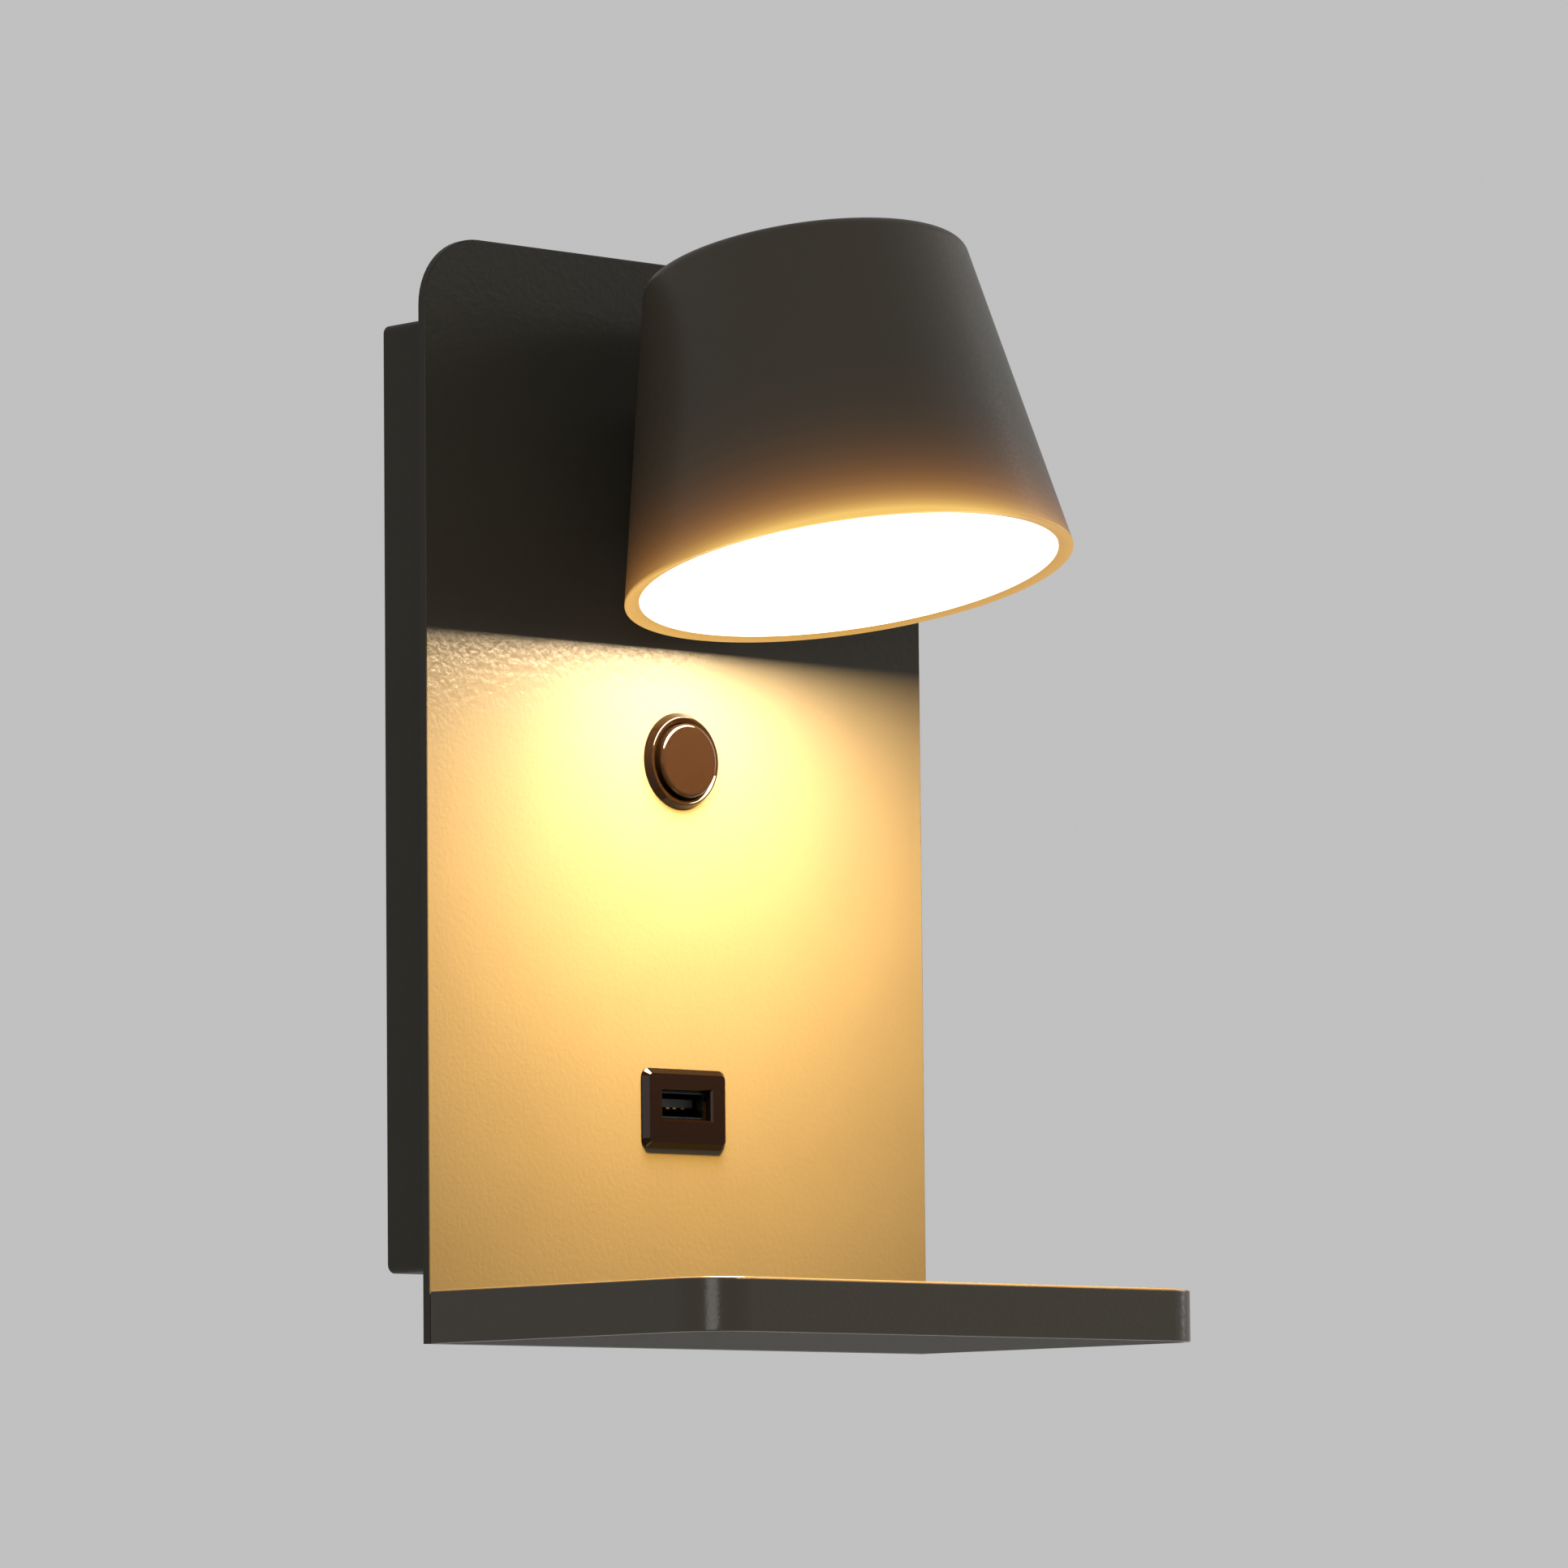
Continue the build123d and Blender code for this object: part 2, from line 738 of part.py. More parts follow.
def heat_spreader():
    """Aluminium disc that takes the heat of the light board."""
    plate = disc(spreader_radius(), spreader_level, spreader_top)
    hole = disc(m3_radius + hole_gap, spreader_level - overcut, spreader_top + overcut)
    for place in post_places():
        plate -= place * hole
    tapped = disc(m3_radius + thread_gap, spreader_level - overcut, spreader_top + overcut)
    for place in board_screw_places():
        plate -= place * tapped
    return in_head(plate)


def spreader_screws():
    """Screws that hold the heat spreader on the shade's posts."""
    length = spreader_thickness + post_pilot_depth - screw_end
    screw = Pos(0, 0, spreader_level) * pan_screw(m3_radius, length)
    return group(in_head(place * screw) for place in post_places())


def board_screw_places():
    """Middles of the screws that hold the light board."""
    circle = board_radius() - board_screw_edge
    return PolarLocations(circle, board_screw_count, start_angle=board_screw_angle)


def led_board():
    """Round light board on the heat spreader."""
    board = disc(board_radius(), board_level, spreader_level)
    hole = disc(m3_radius + hole_gap, board_level - overcut, spreader_level + overcut)
    for place in board_screw_places():
        board -= place * hole
    return in_head(board)


def board_screws():
    """Screws that hold the light board on the heat spreader."""
    length = board_thickness + spreader_thickness - screw_end
    screw = Pos(0, 0, board_level) * pan_screw(m3_radius, length)
    return group(in_head(place * screw) for place in board_screw_places())


def led_chips():
    """Light chips in rings under the board."""
    chip = block(chip_size, chip_size, board_level - chip_height, board_level)
    chips = []
    for ring in range(chip_ring_count):
        circle = board_radius() - chip_edge - (chip_ring_count - 1 - ring) * chip_ring_step
        count = first_ring_chip_count * (ring + 1)
        half_pitch = 180 / count
        for place in PolarLocations(circle, count, start_angle=board_screw_angle + half_pitch):
            chips.append(in_head(place * chip))
    return group(chips)


def reflector():
    """White funnel from the light board to the diffuser."""
    top_inner = board_radius() + reflector_gap
    low_inner = cavity_radius(diffuser_back) - reflector_gap - reflector_wall
    points = (
        (low_inner, diffuser_back),
        (low_inner + reflector_wall, diffuser_back),
        (top_inner + reflector_wall, spreader_level),
        (top_inner, spreader_level),
    )
    return in_head(turned(points))


def diffuser():
    """Opal disc that closes the head, almost flush with its rim."""
    lens = disc(diffuser_radius, diffuser_recess, diffuser_back)
    lens = fillet(lens.faces().sort_by(Axis.Z)[0].edges(), diffuser_edge)
    return in_head(lens)


def switch_bezel():
    """Round bezel with its barrel through the face plate."""
    crest = plate_front + bezel_crest_rise
    points = (
        (bore_radius, barrel_back),
        (barrel_radius, barrel_back),
        (barrel_radius, plate_front),
        (bezel_radius, plate_front),
        (bezel_crest_radius, crest),
        (bore_radius, plate_front + bezel_dish_rise),
    )
    ring = turned(points)
    crest_line = ring.edges().filter_by(GeomType.CIRCLE).sort_by(Axis.Z)[-1]
    return Pos(0, switch_y, 0) * fillet(crest_line, bezel_crest_edge)


def switch_button():
    """Push cap with its stem and the collar that keeps it in the switch."""
    cap = disc(cap_radius, cap_back, cap_front)
    cap = fillet(cap.faces().sort_by(Axis.Z)[-1].edges(), cap_edge)
    collar_front = guide_back - thread_gap
    cap += disc(switch_stem_radius, collar_front - switch_collar, cap_back)
    cap += disc(switch_collar_radius, collar_front - switch_collar, collar_front)
    return Pos(0, switch_y, 0) * cap


def switch_body():
    """Contact block behind the barrel, which guides the stem."""
    body = disc(barrel_radius, switch_body_back, barrel_back)
    body += disc(bore_radius - thread_gap, barrel_back, spigot_front)
    body -= disc(switch_stem_radius + cap_gap, chamber_back, spigot_front + overcut)
    body -= disc(switch_collar_radius + cap_gap, chamber_back, guide_back)
    return Pos(0, switch_y, 0) * body


def switch_terminals():
    """Two tabs on the back of the contact block."""
    start = switch_body_back - switch_tab_length
    tab = block(switch_tab_thickness, switch_tab_width, start, switch_body_back)
    return group(Pos(side * switch_tab_offset, switch_y, 0) * tab for side in (1, -1))


def switch_nut():
    """Ring nut that clamps the switch, from inside the housing."""
    bore = barrel_radius + thread_gap
    return hexagon(switch_nut_flats, bore, housing_floor - switch_nut_height, housing_floor, 0, switch_y)


def switch_spring():
    """Return spring between the contact block and the cap."""
    start = spigot_front + spring_wire_radius + thread_gap
    rise = cap_back - spring_wire_radius - thread_gap - start
    coil_radius = (switch_stem_radius + bore_radius) / 2
    path = Helix(rise / spring_turns, rise, coil_radius)
    wire = sweep(Plane(path @ 0, z_dir=path % 0) * Circle(spring_wire_radius), path)
    print("switch spring gap between turns", round(rise / spring_turns - 2 * spring_wire_radius, 2))
    return Pos(0, switch_y, start) * wire


def usb_barb(side):
    """Snap wedge on one side of the socket's body, behind the housing's front wall."""
    wall_x = usb_body_width / 2
    front = housing_floor - usb_fit_gap
    wedge = make_face(
        Polyline(
            (wall_x, front),
            (wall_x + usb_barb_reach, front),
            (wall_x, front - usb_barb_length),
            close=True,
        )
    )
    barb = extrude(Plane.XZ * wedge, usb_barb_width / 2, both=True)
    if side < 0:
        barb = mirror(barb, Plane.YZ)
    return Pos(0, usb_y, 0) * barb


def usb_bezel():
    """Moulded bezel and body of the charging socket."""
    outline = RectangleRounded(usb_bezel_width, usb_bezel_height, usb_corner_radius)
    flange = Pos(0, usb_y, plate_front) * extrude(outline, usb_bezel_rise)
    flange = chamfer(flange.faces().sort_by(Axis.Z)[-1].edges(), usb_bezel_bevel)
    window = block(
        usb_window_width, usb_window_height, usb_shell_front, usb_front + overcut, 0, usb_window_y
    )
    body = flange + block(usb_body_width, usb_body_height, usb_body_back, plate_front, 0, usb_y)
    for side in (1, -1):
        body += usb_barb(side)
    body -= window
    front = body.faces().filter_by(Axis.Z).sort_by(Axis.Z)[-1]
    body = chamfer(front.inner_wires().edges(), usb_window_bevel)
    pocket_width = usb_shell_width + 2 * usb_fit_gap
    pocket_height = usb_shell_height + 2 * usb_fit_gap
    return body - block(
        pocket_width, pocket_height, usb_body_back - overcut, usb_shell_front + overcut, 0, usb_window_y
    )


def usb_shell():
    """Steel shell of the socket, closed at its back."""
    shell = block(usb_shell_width, usb_shell_height, usb_body_back, usb_shell_front, 0, usb_window_y)
    room_width = usb_shell_width - 2 * usb_shell_sheet
    room_height = usb_shell_height - 2 * usb_shell_sheet
    back = usb_body_back + usb_shell_sheet
    return shell - block(room_width, room_height, back, usb_shell_front + overcut, 0, usb_window_y)


def usb_tongue():
    """Plastic tongue that carries the contacts."""
    back = usb_body_back + usb_shell_sheet
    middle = usb_window_y + usb_tongue_lift
    return block(usb_tongue_width, usb_tongue_thickness, back, usb_tongue_front, 0, middle)


def usb_contacts():
    """Contact strips under the tongue."""
    back = usb_body_back + usb_shell_sheet
    under = usb_window_y + usb_tongue_lift - usb_tongue_thickness / 2
    middle = under - usb_contact_sheet / 2
    front = usb_tongue_front - usb_contact_width
    strips = [
        block(usb_contact_width, usb_contact_sheet, back, front, x, middle) for x in usb_contact_places
    ]
    return group(strips)


def usb_board():
    """Circuit board on the back of the socket's body."""
    return block(usb_board_width, usb_board_height, usb_board_back, usb_body_back, 0, usb_y)


def usb_board_parts():
    """Transformer and two capacitors on the circuit board."""
    start = usb_board_back - usb_part_height
    core = block(usb_transformer_width, usb_transformer_height, start, usb_board_back, -usb_part_x, usb_y)
    parts = [fillet(core.edges().filter_by(Axis.Z), screw_end)]
    for side in (1, -1):
        y = usb_y + side * usb_capacitor_spacing / 2
        parts.append(disc(usb_capacitor_radius, start, usb_board_back, usb_part_x, y))
    return group(parts)


def led_driver():
    """Closed case of the light driver, with a fixing tab at each end."""
    case = block(driver_width, driver_height, housing_floor - driver_depth, housing_floor, driver_x, 0)
    case = fillet(case.faces().sort_by(Axis.Z)[0].edges() + case.edges().filter_by(Axis.Z), driver_edge)
    tab_back = housing_floor - driver_tab_sheet
    for x, y in driver_screw_places():
        tab = block(driver_tab_width, driver_tab_length, tab_back, housing_floor, x, y)
        case += tab
        case -= disc(m3_radius + hole_gap, tab_back - overcut, housing_floor + overcut, x, y)
    return case


def driver_screws():
    """Screws through the driver's tabs into the housing's front wall."""
    length = driver_tab_sheet + housing_wall - thread_gap
    tab_back = housing_floor - driver_tab_sheet
    return group(Pos(x, y, tab_back) * pan_screw(m3_radius, length) for x, y in driver_screw_places())


makers = (
    wall_plate,
    cable_grommet,
    terminal_block,
    terminal_screws,
    terminal_fixing_screw,
    earth_stud,
    earth_nut,
    housing,
    housing_screws,
    face_plate,
    plate_studs,
    plate_nuts,
    shelf,
    shelf_base,
    shelf_nuts,
    shelf_screws,
    swivel_bush,
    stop_pin,
    friction_washer,
    spring_washer,
    lock_nut,
    swivel_nipple,
    shade_nut,
    shade,
    heat_spreader,
    spreader_screws,
    led_board,
    board_screws,
    led_chips,
    reflector,
    diffuser,
    switch_bezel,
    switch_button,
    switch_body,
    switch_terminals,
    switch_nut,
    switch_spring,
    usb_bezel,
    usb_shell,
    usb_tongue,
    usb_contacts,
    usb_board,
    usb_board_parts,
    led_driver,
    driver_screws,
)

os.makedirs("parts", exist_ok=True)
upright = Rot(90, 0, 0)
for maker in makers:
    export_step(upright * maker(), f"parts/{maker.__name__}.step")
print("head leans by", round(degrees(shade_lean), 2), "degrees")
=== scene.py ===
import math

import bpy
from mathutils import Matrix, Vector

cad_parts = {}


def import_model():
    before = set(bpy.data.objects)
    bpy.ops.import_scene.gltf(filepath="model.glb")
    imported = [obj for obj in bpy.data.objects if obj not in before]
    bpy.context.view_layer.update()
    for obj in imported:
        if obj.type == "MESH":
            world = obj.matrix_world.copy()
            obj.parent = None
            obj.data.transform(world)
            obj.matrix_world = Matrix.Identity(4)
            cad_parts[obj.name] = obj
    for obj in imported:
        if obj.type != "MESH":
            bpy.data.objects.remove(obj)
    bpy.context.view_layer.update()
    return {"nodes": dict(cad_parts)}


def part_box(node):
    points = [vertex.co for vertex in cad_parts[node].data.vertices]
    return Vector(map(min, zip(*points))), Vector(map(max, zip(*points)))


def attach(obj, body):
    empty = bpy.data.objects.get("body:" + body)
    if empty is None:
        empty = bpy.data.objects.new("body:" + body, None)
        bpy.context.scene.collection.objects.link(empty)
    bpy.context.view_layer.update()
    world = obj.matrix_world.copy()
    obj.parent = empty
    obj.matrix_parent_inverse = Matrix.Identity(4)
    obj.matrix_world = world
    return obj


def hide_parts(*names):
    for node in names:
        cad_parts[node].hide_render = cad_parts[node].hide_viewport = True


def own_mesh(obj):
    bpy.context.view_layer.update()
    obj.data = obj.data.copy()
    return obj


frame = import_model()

# Wall reading lamp, switched on: dark powder-coated sheet metal, an opal light disc,
# a glossy push switch and a glossy charging socket. Sizes are in metres.

# Camera, measured on the photograph. The sensor's width is in millimetres.
image_size = 1932
focal_pixels = 10631.6
sensor_width = 36.0
camera_yaw = math.radians(42.762)
camera_pitch = math.radians(5.604)
camera_roll = math.radians(-0.525)
camera_distance = 1.9438
plate_centre_pixel = (838.5, 991.03)

# Head, as it leans at rest
head_lean = math.radians(10.92)
head_axis = Vector((0, math.sin(head_lean), math.cos(head_lean)))
head_front = Vector((0, -math.cos(head_lean), math.sin(head_lean)))
diffuser_thickness = 0.0026
diffuser_recess = 0.0004

# Light of the lamp itself: a wide light a gap below the whole disc, and a golden one a gap
# below that, near the front
lamp_radius = 0.0465
lamp_power = 4.9
lamp_colour = (0.98, 0.73, 0.45)
beam_radius = 0.008
beam_offset = 0.028
beam_power = 5.8
beam_colour = (1.0, 0.48, 0.0)
lamp_gap = 0.0005
diffuser_colour = (1.0, 0.97, 0.88)
diffuser_strength = 2.2

# Painted glow: emission on the shade that stands in for the disc's warm light and glare over the
# rim,
# and fades with height: a near part and a wide part, each with its colour where the glow starts
# and its fading height. The glow starts a drop below the disc's front edge, and its tilt lets it
# reach higher on the front left.
glow_reach = 0.040
glow_tilt = Vector((0.10, 0.13, 0))
glow_drop = 0.0009
glow_steps = 12
painted_glow_parts = (
    ((0.36, 0.36, 0.09), 0.0022),
    ((0.54, 0.195, 0.038), 0.0070),
)

# Painted light on the rim itself, as emission: height above its lower face, and colour
painted_rim_light_stops = (
    (0.0000, (0.620, 0.340, 0.075)),
    (0.0005, (0.560, 0.290, 0.060)),
    (0.0008, (0.000, 0.000, 0.000)),
)

# Studio light and floor. Each soft light has its place, width and power.
world_strength = 0.31
background_tone = 0.53
studio_lights = {
    "front_light": ((1.58, -1.70, 1.10), 0.5, 3.0),
    "right_light": ((2.3, -0.7, 0.6), 1.2, 16.0),
    "edge_light": ((-1.56, -1.41, 0.205), 1.0, 7.0),
}
floor_level = -1.0
floor_size = 14.0
floor_tone = 0.62
floor_lift = 0.28
floor_grain = 3.0
floor_shades = (0.99, 1.01)
floor_roughness = 0.9

# Part of a noise's range that is spread over values, and over the shades of a colour
noise_low = 0.3
noise_high = 0.7
mottle_span = (0.35, 0.65)

# Powder coat: its clouded colour, and its fine pebbles with their scale and depth
cloud_scale = 60.0
cloud_detail = 3.0
cloud_shades = (0.985, 1.015)
pebbles = (900.0, 0.00006)
pebble_detail = 2.0
pebble_sharpness = 0.55
paint_roughness = (0.48, 0.56)
paint_relief = 0.7

# Painted pieces: display colour, specular level, weight and roughness of the clear top,
# and scale and depth of the peel in that top
paint_looks = {
    "body_paint": ((60, 58, 51), 0.02, (0.2, 0.24), pebbles),
    # The shade's colour is the body's paint made lighter and warmer: painted light on the shade
    "shade_paint": ((65, 60, 50), 0.2, (0.2, 0.24), pebbles),
    "plate_paint": ((60, 58, 51), 0.02, (0.22, 0.27), (620.0, 0.00018)),
    # The shelf's colour is the body's paint made warmer: painted warm light on the shelf
    "shelf_paint": ((64, 58, 46), 0.02, (0.8, 0.20), pebbles),
    "underside_paint": ((60, 58, 51), 0.02, (0.1, 0.30), pebbles),
}

# Bare and plated metals: display colour and span of roughness
grain_scale = 900.0
grain_detail = 4.0
grain_shades = (0.9, 1.05)
metal_looks = {
    "zinc_steel": ((196, 198, 200), (0.25, 0.40)),
    "brass": ((214, 178, 104), (0.22, 0.34)),
    "aluminium": ((205, 207, 210), (0.30, 0.45)),
    "dark_steel": ((56, 56, 58), (0.25, 0.35)),
}

# Plastics: display colour, span of roughness and depth of the skin
skin_scale = 700.0
skin_detail = 3.0
skin_shades = (0.93, 1.06)
skin_relief = 0.4
skin_depth = 0.00002
rubber_depth = 0.00005
plastic_looks = {
    "rubber": ((32, 32, 32), (0.65, 0.80), rubber_depth),
    "white_plastic": ((232, 230, 224), (0.35, 0.45), skin_depth),
    "black_plastic": ((14, 14, 14), (0.35, 0.48), skin_depth),
    "circuit_board": ((24, 84, 52), (0.30, 0.40), skin_depth),
    "light_board": ((236, 236, 232), (0.30, 0.40), skin_depth),
    "light_chip": ((240, 206, 92), (0.25, 0.35), skin_depth),
}

# Dark glossy plastics: display colour and specular level
gloss_roughness = (0.05, 0.08)
gloss_depth = 0.000002
gloss_looks = {
    "glossy_plastic": ((10, 5, 2), 0.2),
    "socket_plastic": ((4, 2, 1), 0.11),
}

# Opal disc
opal_tone = (240, 236, 228)
opal_scale = 40.0
opal_roughness = (0.28, 0.36)

# Nodes with a finish of their own, instead of that of their material slot
own_finish = {
    "face_plate": "plate_paint",
    "shelf": "shelf_paint",
    "shelf_base": "underside_paint",
    "usb_bezel": "socket_plastic",
}


def tone(red, green, blue):
    """Linear colour of a display colour given in steps of 0 to 255."""
    return tuple(linear(step / 255) for step in (red, green, blue)) + (1.0,)


def linear(value):
    """Linear value of one display channel, by the standard display curve."""
    if value <= 0.04045:
        return value / 12.92
    return ((value + 0.055) / 1.055) ** 2.4


def grey(level):
    """Linear grey of a level."""
    return (level, level, level, 1.0)


def shifted(colour, factor):
    """The same colour, lighter or darker by a factor."""
    return tuple(channel * factor for channel in colour[:3]) + (1.0,)


def material(name):
    """New node material, with its tree and its main shader."""
    made = bpy.data.materials.new(name)
    made.use_nodes = True
    tree = made.node_tree
    return made, tree, tree.nodes["Principled BSDF"]


def add(tree, kind, **inputs):
    """Node of a kind with values set on its sockets."""
    node = tree.nodes.new(kind)
    for socket, value in inputs.items():
        node.inputs[socket.replace("_", " ")].default_value = value
    return node


def noise(tree, scale, detail=2.0, roughness=0.5):
    """Noise in the part's own coordinates."""
    place = tree.nodes.new("ShaderNodeTexCoord")
    pattern = add(tree, "ShaderNodeTexNoise", Scale=scale, Detail=detail, Roughness=roughness)
    tree.links.new(place.outputs["Object"], pattern.inputs["Vector"])
    return pattern.outputs["Fac"]


def spread(tree, source, values, socket):
    """Link a noise to a value socket, spread between two values."""
    low, high = values
    node = add(
        tree, "ShaderNodeMapRange",
        From_Min=noise_low, From_Max=noise_high, To_Min=low, To_Max=high,
    )
    tree.links.new(source, node.inputs["Value"])
    tree.links.new(node.outputs["Result"], socket)


def mottle(tree, source, colour, shades, socket):
    """Link a noise to a colour socket, between two shades of a colour."""
    node = tree.nodes.new("ShaderNodeValToRGB")
    for element, position, shade in zip(node.color_ramp.elements, mottle_span, shades):
        element.position = position
        element.color = shifted(colour, shade)
    tree.links.new(source, node.inputs["Fac"])
    tree.links.new(node.outputs["Color"], socket)


def bump(tree, source, depth, strength, socket):
    """Surface relief of a depth from a noise, linked to a normal socket."""
    node = add(tree, "ShaderNodeBump", Strength=strength, Distance=depth)
    tree.links.new(source, node.inputs["Height"])
    tree.links.new(node.outputs["Normal"], socket)


def mixed(tree, factor, first, second):
    """Shader that goes from a first to a second one, as a factor goes from 0 to 1."""
    node = tree.nodes.new("ShaderNodeMixShader")
    tree.links.new(factor, node.inputs["Fac"])
    tree.links.new(first, node.inputs[1])
    tree.links.new(second, node.inputs[2])
    return node.outputs["Shader"]


def powder_coat(name, colour, specular, top, peel):
    """Satin powder coat with its fine pebbled skin, and the peel of its clear top."""
    made, tree, shader = material(name)
    clouds = noise(tree, cloud_scale, cloud_detail)
    mottle(tree, clouds, tone(*colour), cloud_shades, shader.inputs["Base Color"])
    pebble_scale, pebble_depth = pebbles
    skin = noise(tree, pebble_scale, pebble_detail, pebble_sharpness)
    spread(tree, skin, paint_roughness, shader.inputs["Roughness"])
    bump(tree, skin, pebble_depth, paint_relief, shader.inputs["Normal"])
    peel_scale, peel_depth = peel
    ripples = noise(tree, peel_scale, pebble_detail, pebble_sharpness)
    bump(tree, ripples, peel_depth, paint_relief, shader.inputs["Coat Normal"])
    top_weight, top_roughness = top
    shader.inputs["Specular IOR Level"].default_value = specular
    shader.inputs["Coat Weight"].default_value = top_weight
    shader.inputs["Coat Roughness"].default_value = top_roughness
    return made


def metal(name, colour, roughness):
    """Bare or plated metal with a fine grain in its colour and gloss."""
    made, tree, shader = material(name)
    shader.inputs["Metallic"].default_value = 1.0
    grain = noise(tree, grain_scale, grain_detail)
    mottle(tree, grain, tone(*colour), grain_shades, shader.inputs["Base Color"])
    spread(tree, grain, roughness, shader.inputs["Roughness"])
    return made


def plastic(name, colour, roughness, depth):
    """Moulded plastic with a fine skin."""
    made, tree, shader = material(name)
    skin = noise(tree, skin_scale, skin_detail)
    mottle(tree, skin, tone(*colour), skin_shades, shader.inputs["Base Color"])
    spread(tree, skin, roughness, shader.inputs["Roughness"])
    bump(tree, skin, depth, skin_relief, shader.inputs["Normal"])
    return made


def gloss(name, colour, specular):
    """Dark glossy plastic, its mirror strength held back."""
    made = plastic(name, colour, gloss_roughness, gloss_depth)
    shader = made.node_tree.nodes["Principled BSDF"]
    shader.inputs["Specular IOR Level"].default_value = specular
    return made


def opal(name):
    """Opal light disc that glows."""
    made, tree, shader = material(name)
    shader.inputs["Base Color"].default_value = tone(*opal_tone)
    clouds = noise(tree, opal_scale)
    spread(tree, clouds, opal_roughness, shader.inputs["Roughness"])
    shader.inputs["Emission Color"].default_value = diffuser_colour + (1.0,)
    shader.inputs["Emission Strength"].default_value = diffuser_strength
    return made


def diffuser_face():
    """Middle of the opal disc's lower face."""
    low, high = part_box("diffuser")
    return (low + high) / 2 - head_axis * (diffuser_thickness / 2)


def along(tree, direction, start, stops):
    """Colour that follows stops along a direction, from a start."""
    reach = stops[-1][0]
    place = tree.nodes.new("ShaderNodeTexCoord")
    measure = tree.nodes.new("ShaderNodeVectorMath")
    measure.operation = "DOT_PRODUCT"
    measure.inputs[1].default_value = direction
    share = add(tree, "ShaderNodeMapRange", From_Min=start, From_Max=start + reach)
    ramp = tree.nodes.new("ShaderNodeValToRGB")
    for height, colour in stops[1:-1]:
        ramp.color_ramp.elements.new(height / reach).color = colour + (1.0,)
    ramp.color_ramp.elements[0].color = stops[0][1] + (1.0,)
    ramp.color_ramp.elements[-1].color = stops[-1][1] + (1.0,)
    tree.links.new(place.outputs["Object"], measure.inputs[0])
    tree.links.new(measure.outputs["Value"], share.inputs["Value"])
    tree.links.new(share.outputs["Result"], ramp.inputs["Fac"])
    return ramp.outputs["Color"]


def painted_glow_colour(height):
    """Colour of the painted glow at a height above its start."""
    shares = [(colour, math.exp(-height / fade)) for colour, fade in painted_glow_parts]
    return tuple(sum(colour[channel] * share for colour, share in shares) for channel in range(3))


def painted_glow_stops():
    """Stops of the painted glow from its start upwards, closer together near the start."""
    heights = [glow_reach * (step / glow_steps) ** 2 for step in range(glow_steps + 1)]
    return [(height, painted_glow_colour(height)) for height in heights]


def painted_rim_glow(made):
    """Painted light of the disc, as emission on the shade's rim and, fading upwards, on its
    outside.
    """
    tree = made.node_tree
    rim_middle = diffuser_face() - head_axis * diffuser_recess
    rim = along(tree, head_axis, head_axis.dot(rim_middle), painted_rim_light_stops)
    tilted = head_axis + glow_tilt
    front = rim_middle + head_front * lamp_radius
    glow = along(tree, tilted, tilted.dot(front) - glow_drop, painted_glow_stops())
    brighter = tree.nodes.new("ShaderNodeVectorMath")
    brighter.operation = "MAXIMUM"
    shader = tree.nodes["Principled BSDF"]
    tree.links.new(rim, brighter.inputs[0])
    tree.links.new(glow, brighter.inputs[1])
    tree.links.new(brighter.outputs["Vector"], shader.inputs["Emission Color"])
    shader.inputs["Emission Strength"].default_value = 1.0


def all_finishes():
    """Finish of every material slot and of the nodes with their own, by name."""
    kinds = (
        (powder_coat, paint_looks),
        (metal, metal_looks),
        (plastic, plastic_looks),
        (gloss, gloss_looks),
    )
    made = {}
    for kind, looks in kinds:
        for name, look in looks.items():
            made[name] = kind(name + "_finish", *look)
    made["opal_diffuser"] = opal("opal_diffuser_finish")
    painted_rim_glow(made["shade_paint"])
    return made


def paint_nodes():
    """Give every node its own finish, or that of its material slot in the record."""
    finishes = all_finishes()
    for name, node in frame["nodes"].items():
        slot = node.data.materials[0].name
        node.data.materials[0] = finishes[own_finish.get(name, slot)]


def placed(name, data):
    """New object in the scene."""
    made = bpy.data.objects.new(name, data)
    bpy.context.scene.collection.objects.link(made)
    return made


def return_spring():
    """Copy of the switch spring, fixed to the wall unit in place of the imported one."""
    piece = placed("return_spring", frame["nodes"]["switch_spring"].data.copy())
    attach(piece, "wall_unit")
    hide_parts("switch_spring")
    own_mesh(piece)


def camera():
    """Camera at the photograph's viewing angle."""
    sin_yaw = math.sin(camera_yaw)
    cos_yaw = math.cos(camera_yaw)
    sin_pitch = math.sin(camera_pitch)
    cos_pitch = math.cos(camera_pitch)
    ahead = Vector((sin_yaw * cos_pitch, cos_yaw * cos_pitch, sin_pitch))
    level_right = Vector((cos_yaw, -sin_yaw, 0))
    level_up = Vector((-sin_yaw * sin_pitch, -cos_yaw * sin_pitch, cos_pitch))
    right = math.cos(camera_roll) * level_right + math.sin(camera_roll) * level_up
    up = math.cos(camera_roll) * level_up - math.sin(camera_roll) * level_right
    pixel = camera_distance / focal_pixels
    across = (plate_centre_pixel[0] - image_size / 2) * pixel
    above = (image_size / 2 - plate_centre_pixel[1]) * pixel
    low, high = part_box("face_plate")
    plate_centre = Vector((0, low.y, (low.z + high.z) / 2))
    place = plate_centre - across * right - above * up - camera_distance * ahead
    data = bpy.data.cameras.new("camera")
    data.sensor_width = sensor_width
    data.lens = focal_pixels / image_size * sensor_width
    made = placed("camera", data)
    turn = Matrix((right, up, -ahead)).transposed().to_4x4()
    made.matrix_world = Matrix.Translation(place) @ turn
    bpy.context.scene.camera = made


def seen_rays(tree):
    """One for a ray from the camera, a gloss or a clear piece, and nought for the rest."""
    path = tree.nodes.new("ShaderNodeLightPath")
    shown = path.outputs["Is Camera Ray"]
    for ray in ("Is Glossy Ray", "Is Transmission Ray"):
        either = tree.nodes.new("ShaderNodeMath")
        either.operation = "MAXIMUM"
        tree.links.new(shown, either.inputs[0])
        tree.links.new(path.outputs[ray], either.inputs[1])
        shown = either.outputs["Value"]
    return shown


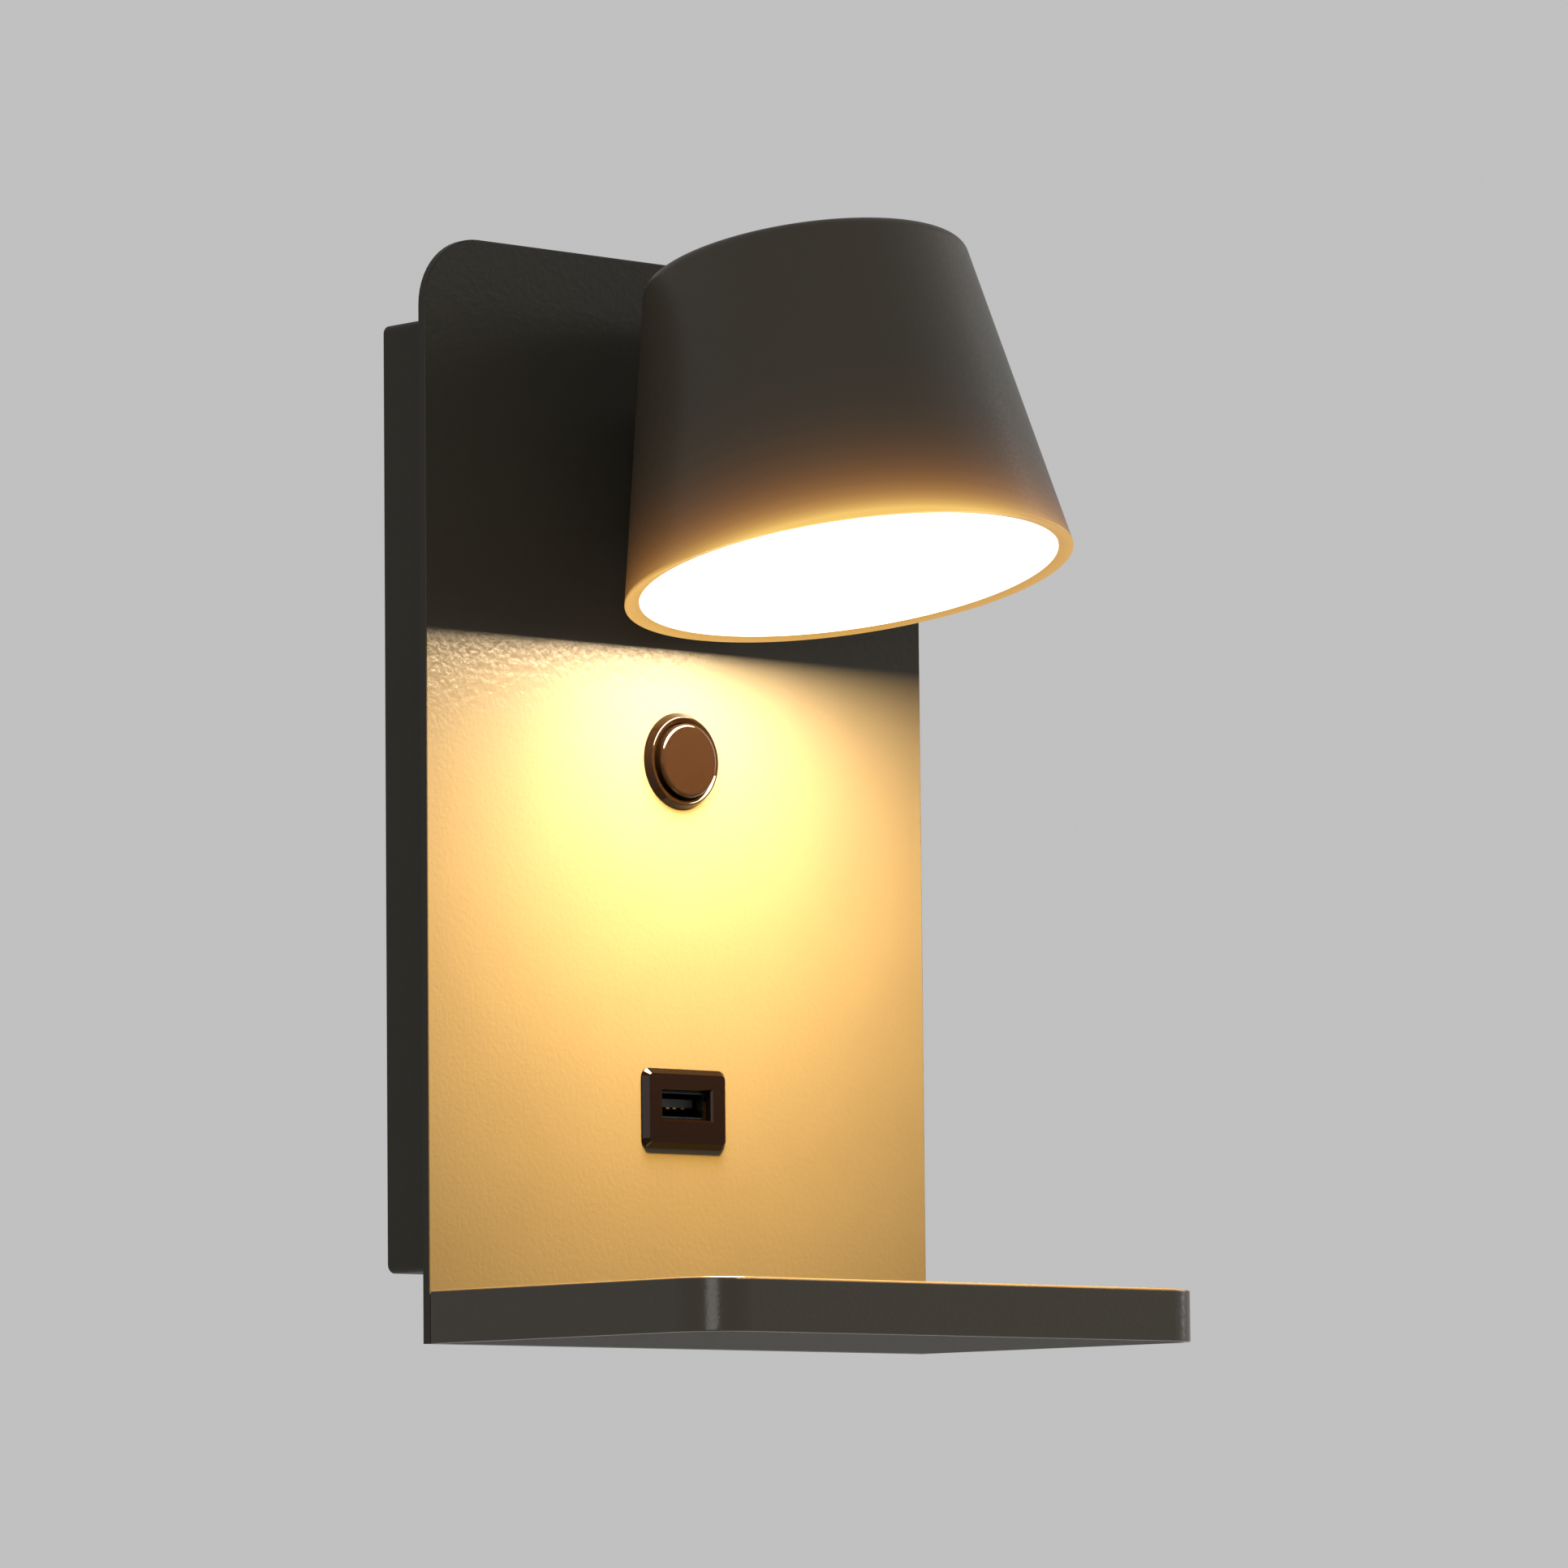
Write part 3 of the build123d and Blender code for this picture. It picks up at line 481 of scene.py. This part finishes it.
def world():
    """Even studio surroundings, seen as a pale plain background."""
    made = bpy.data.worlds.new("studio")
    made.use_nodes = True
    tree = made.node_tree
    tree.nodes.clear()
    lit = add(tree, "ShaderNodeBackground", Color=grey(world_strength))
    seen = add(tree, "ShaderNodeBackground", Color=grey(background_tone))
    sky = mixed(tree, seen_rays(tree), lit.outputs["Background"], seen.outputs["Background"])
    out = tree.nodes.new("ShaderNodeOutputWorld")
    tree.links.new(sky, out.inputs["Surface"])
    bpy.context.scene.world = made


def floor_finish():
    """Plain pale floor material, open to a look from underneath."""
    made, tree, shader = material("floor")
    grain = noise(tree, floor_grain)
    mottle(tree, grain, grey(floor_tone), floor_shades, shader.inputs["Base Color"])
    shader.inputs["Roughness"].default_value = floor_roughness
    shader.inputs["Emission Color"].default_value = grey(floor_lift)
    tree.links.new(seen_rays(tree), shader.inputs["Emission Strength"])
    side = tree.nodes.new("ShaderNodeNewGeometry")
    clear = tree.nodes.new("ShaderNodeBsdfTransparent")
    both = mixed(tree, side.outputs["Backfacing"], shader.outputs["BSDF"], clear.outputs["BSDF"])
    tree.links.new(both, tree.nodes["Material Output"].inputs["Surface"])
    return made


def floor():
    """Plain pale floor, well below the lamp."""
    half = floor_size / 2
    corners = [(-half, -half, 0), (half, -half, 0), (half, half, 0), (-half, half, 0)]
    mesh = bpy.data.meshes.new("floor")
    mesh.from_pydata(corners, [], [(0, 1, 2, 3)])
    mesh.materials.append(floor_finish())
    made = placed("floor", mesh)
    made.location.z = floor_level


def disc_light(name, place, ahead, size, power, colour=(1.0, 1.0, 1.0)):
    """Round area light that looks along a direction."""
    data = bpy.data.lights.new(name, "AREA")
    data.shape = "DISK"
    data.size = size
    data.energy = power
    data.color = colour
    made = placed(name, data)
    made.location = place
    made.rotation_euler = ahead.to_track_quat("-Z", "Y").to_euler()
    return made


def lamp_lights():
    """What the opal disc sends out, turning with the head."""
    ahead = -head_axis
    place = diffuser_face() + ahead * lamp_gap
    wide = disc_light("lamp_light", place, ahead, 2 * lamp_radius, lamp_power, lamp_colour)
    front = place + ahead * lamp_gap + head_front * beam_offset
    beam = disc_light("beam_light", front, ahead, 2 * beam_radius, beam_power, beam_colour)
    beam.visible_glossy = False
    bpy.context.view_layer.update()
    for light in (wide, beam):
        light.visible_camera = False
        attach(light, "head")


def soft_lights():
    """Soft studio lights that look at the lamp."""
    for name, (place, size, power) in studio_lights.items():
        disc_light(name, place, -Vector(place), size, power)


paint_nodes()
return_spring()
camera()
world()
floor()
lamp_lights()
soft_lights()

bpy.context.scene.view_settings.view_transform = "Standard"
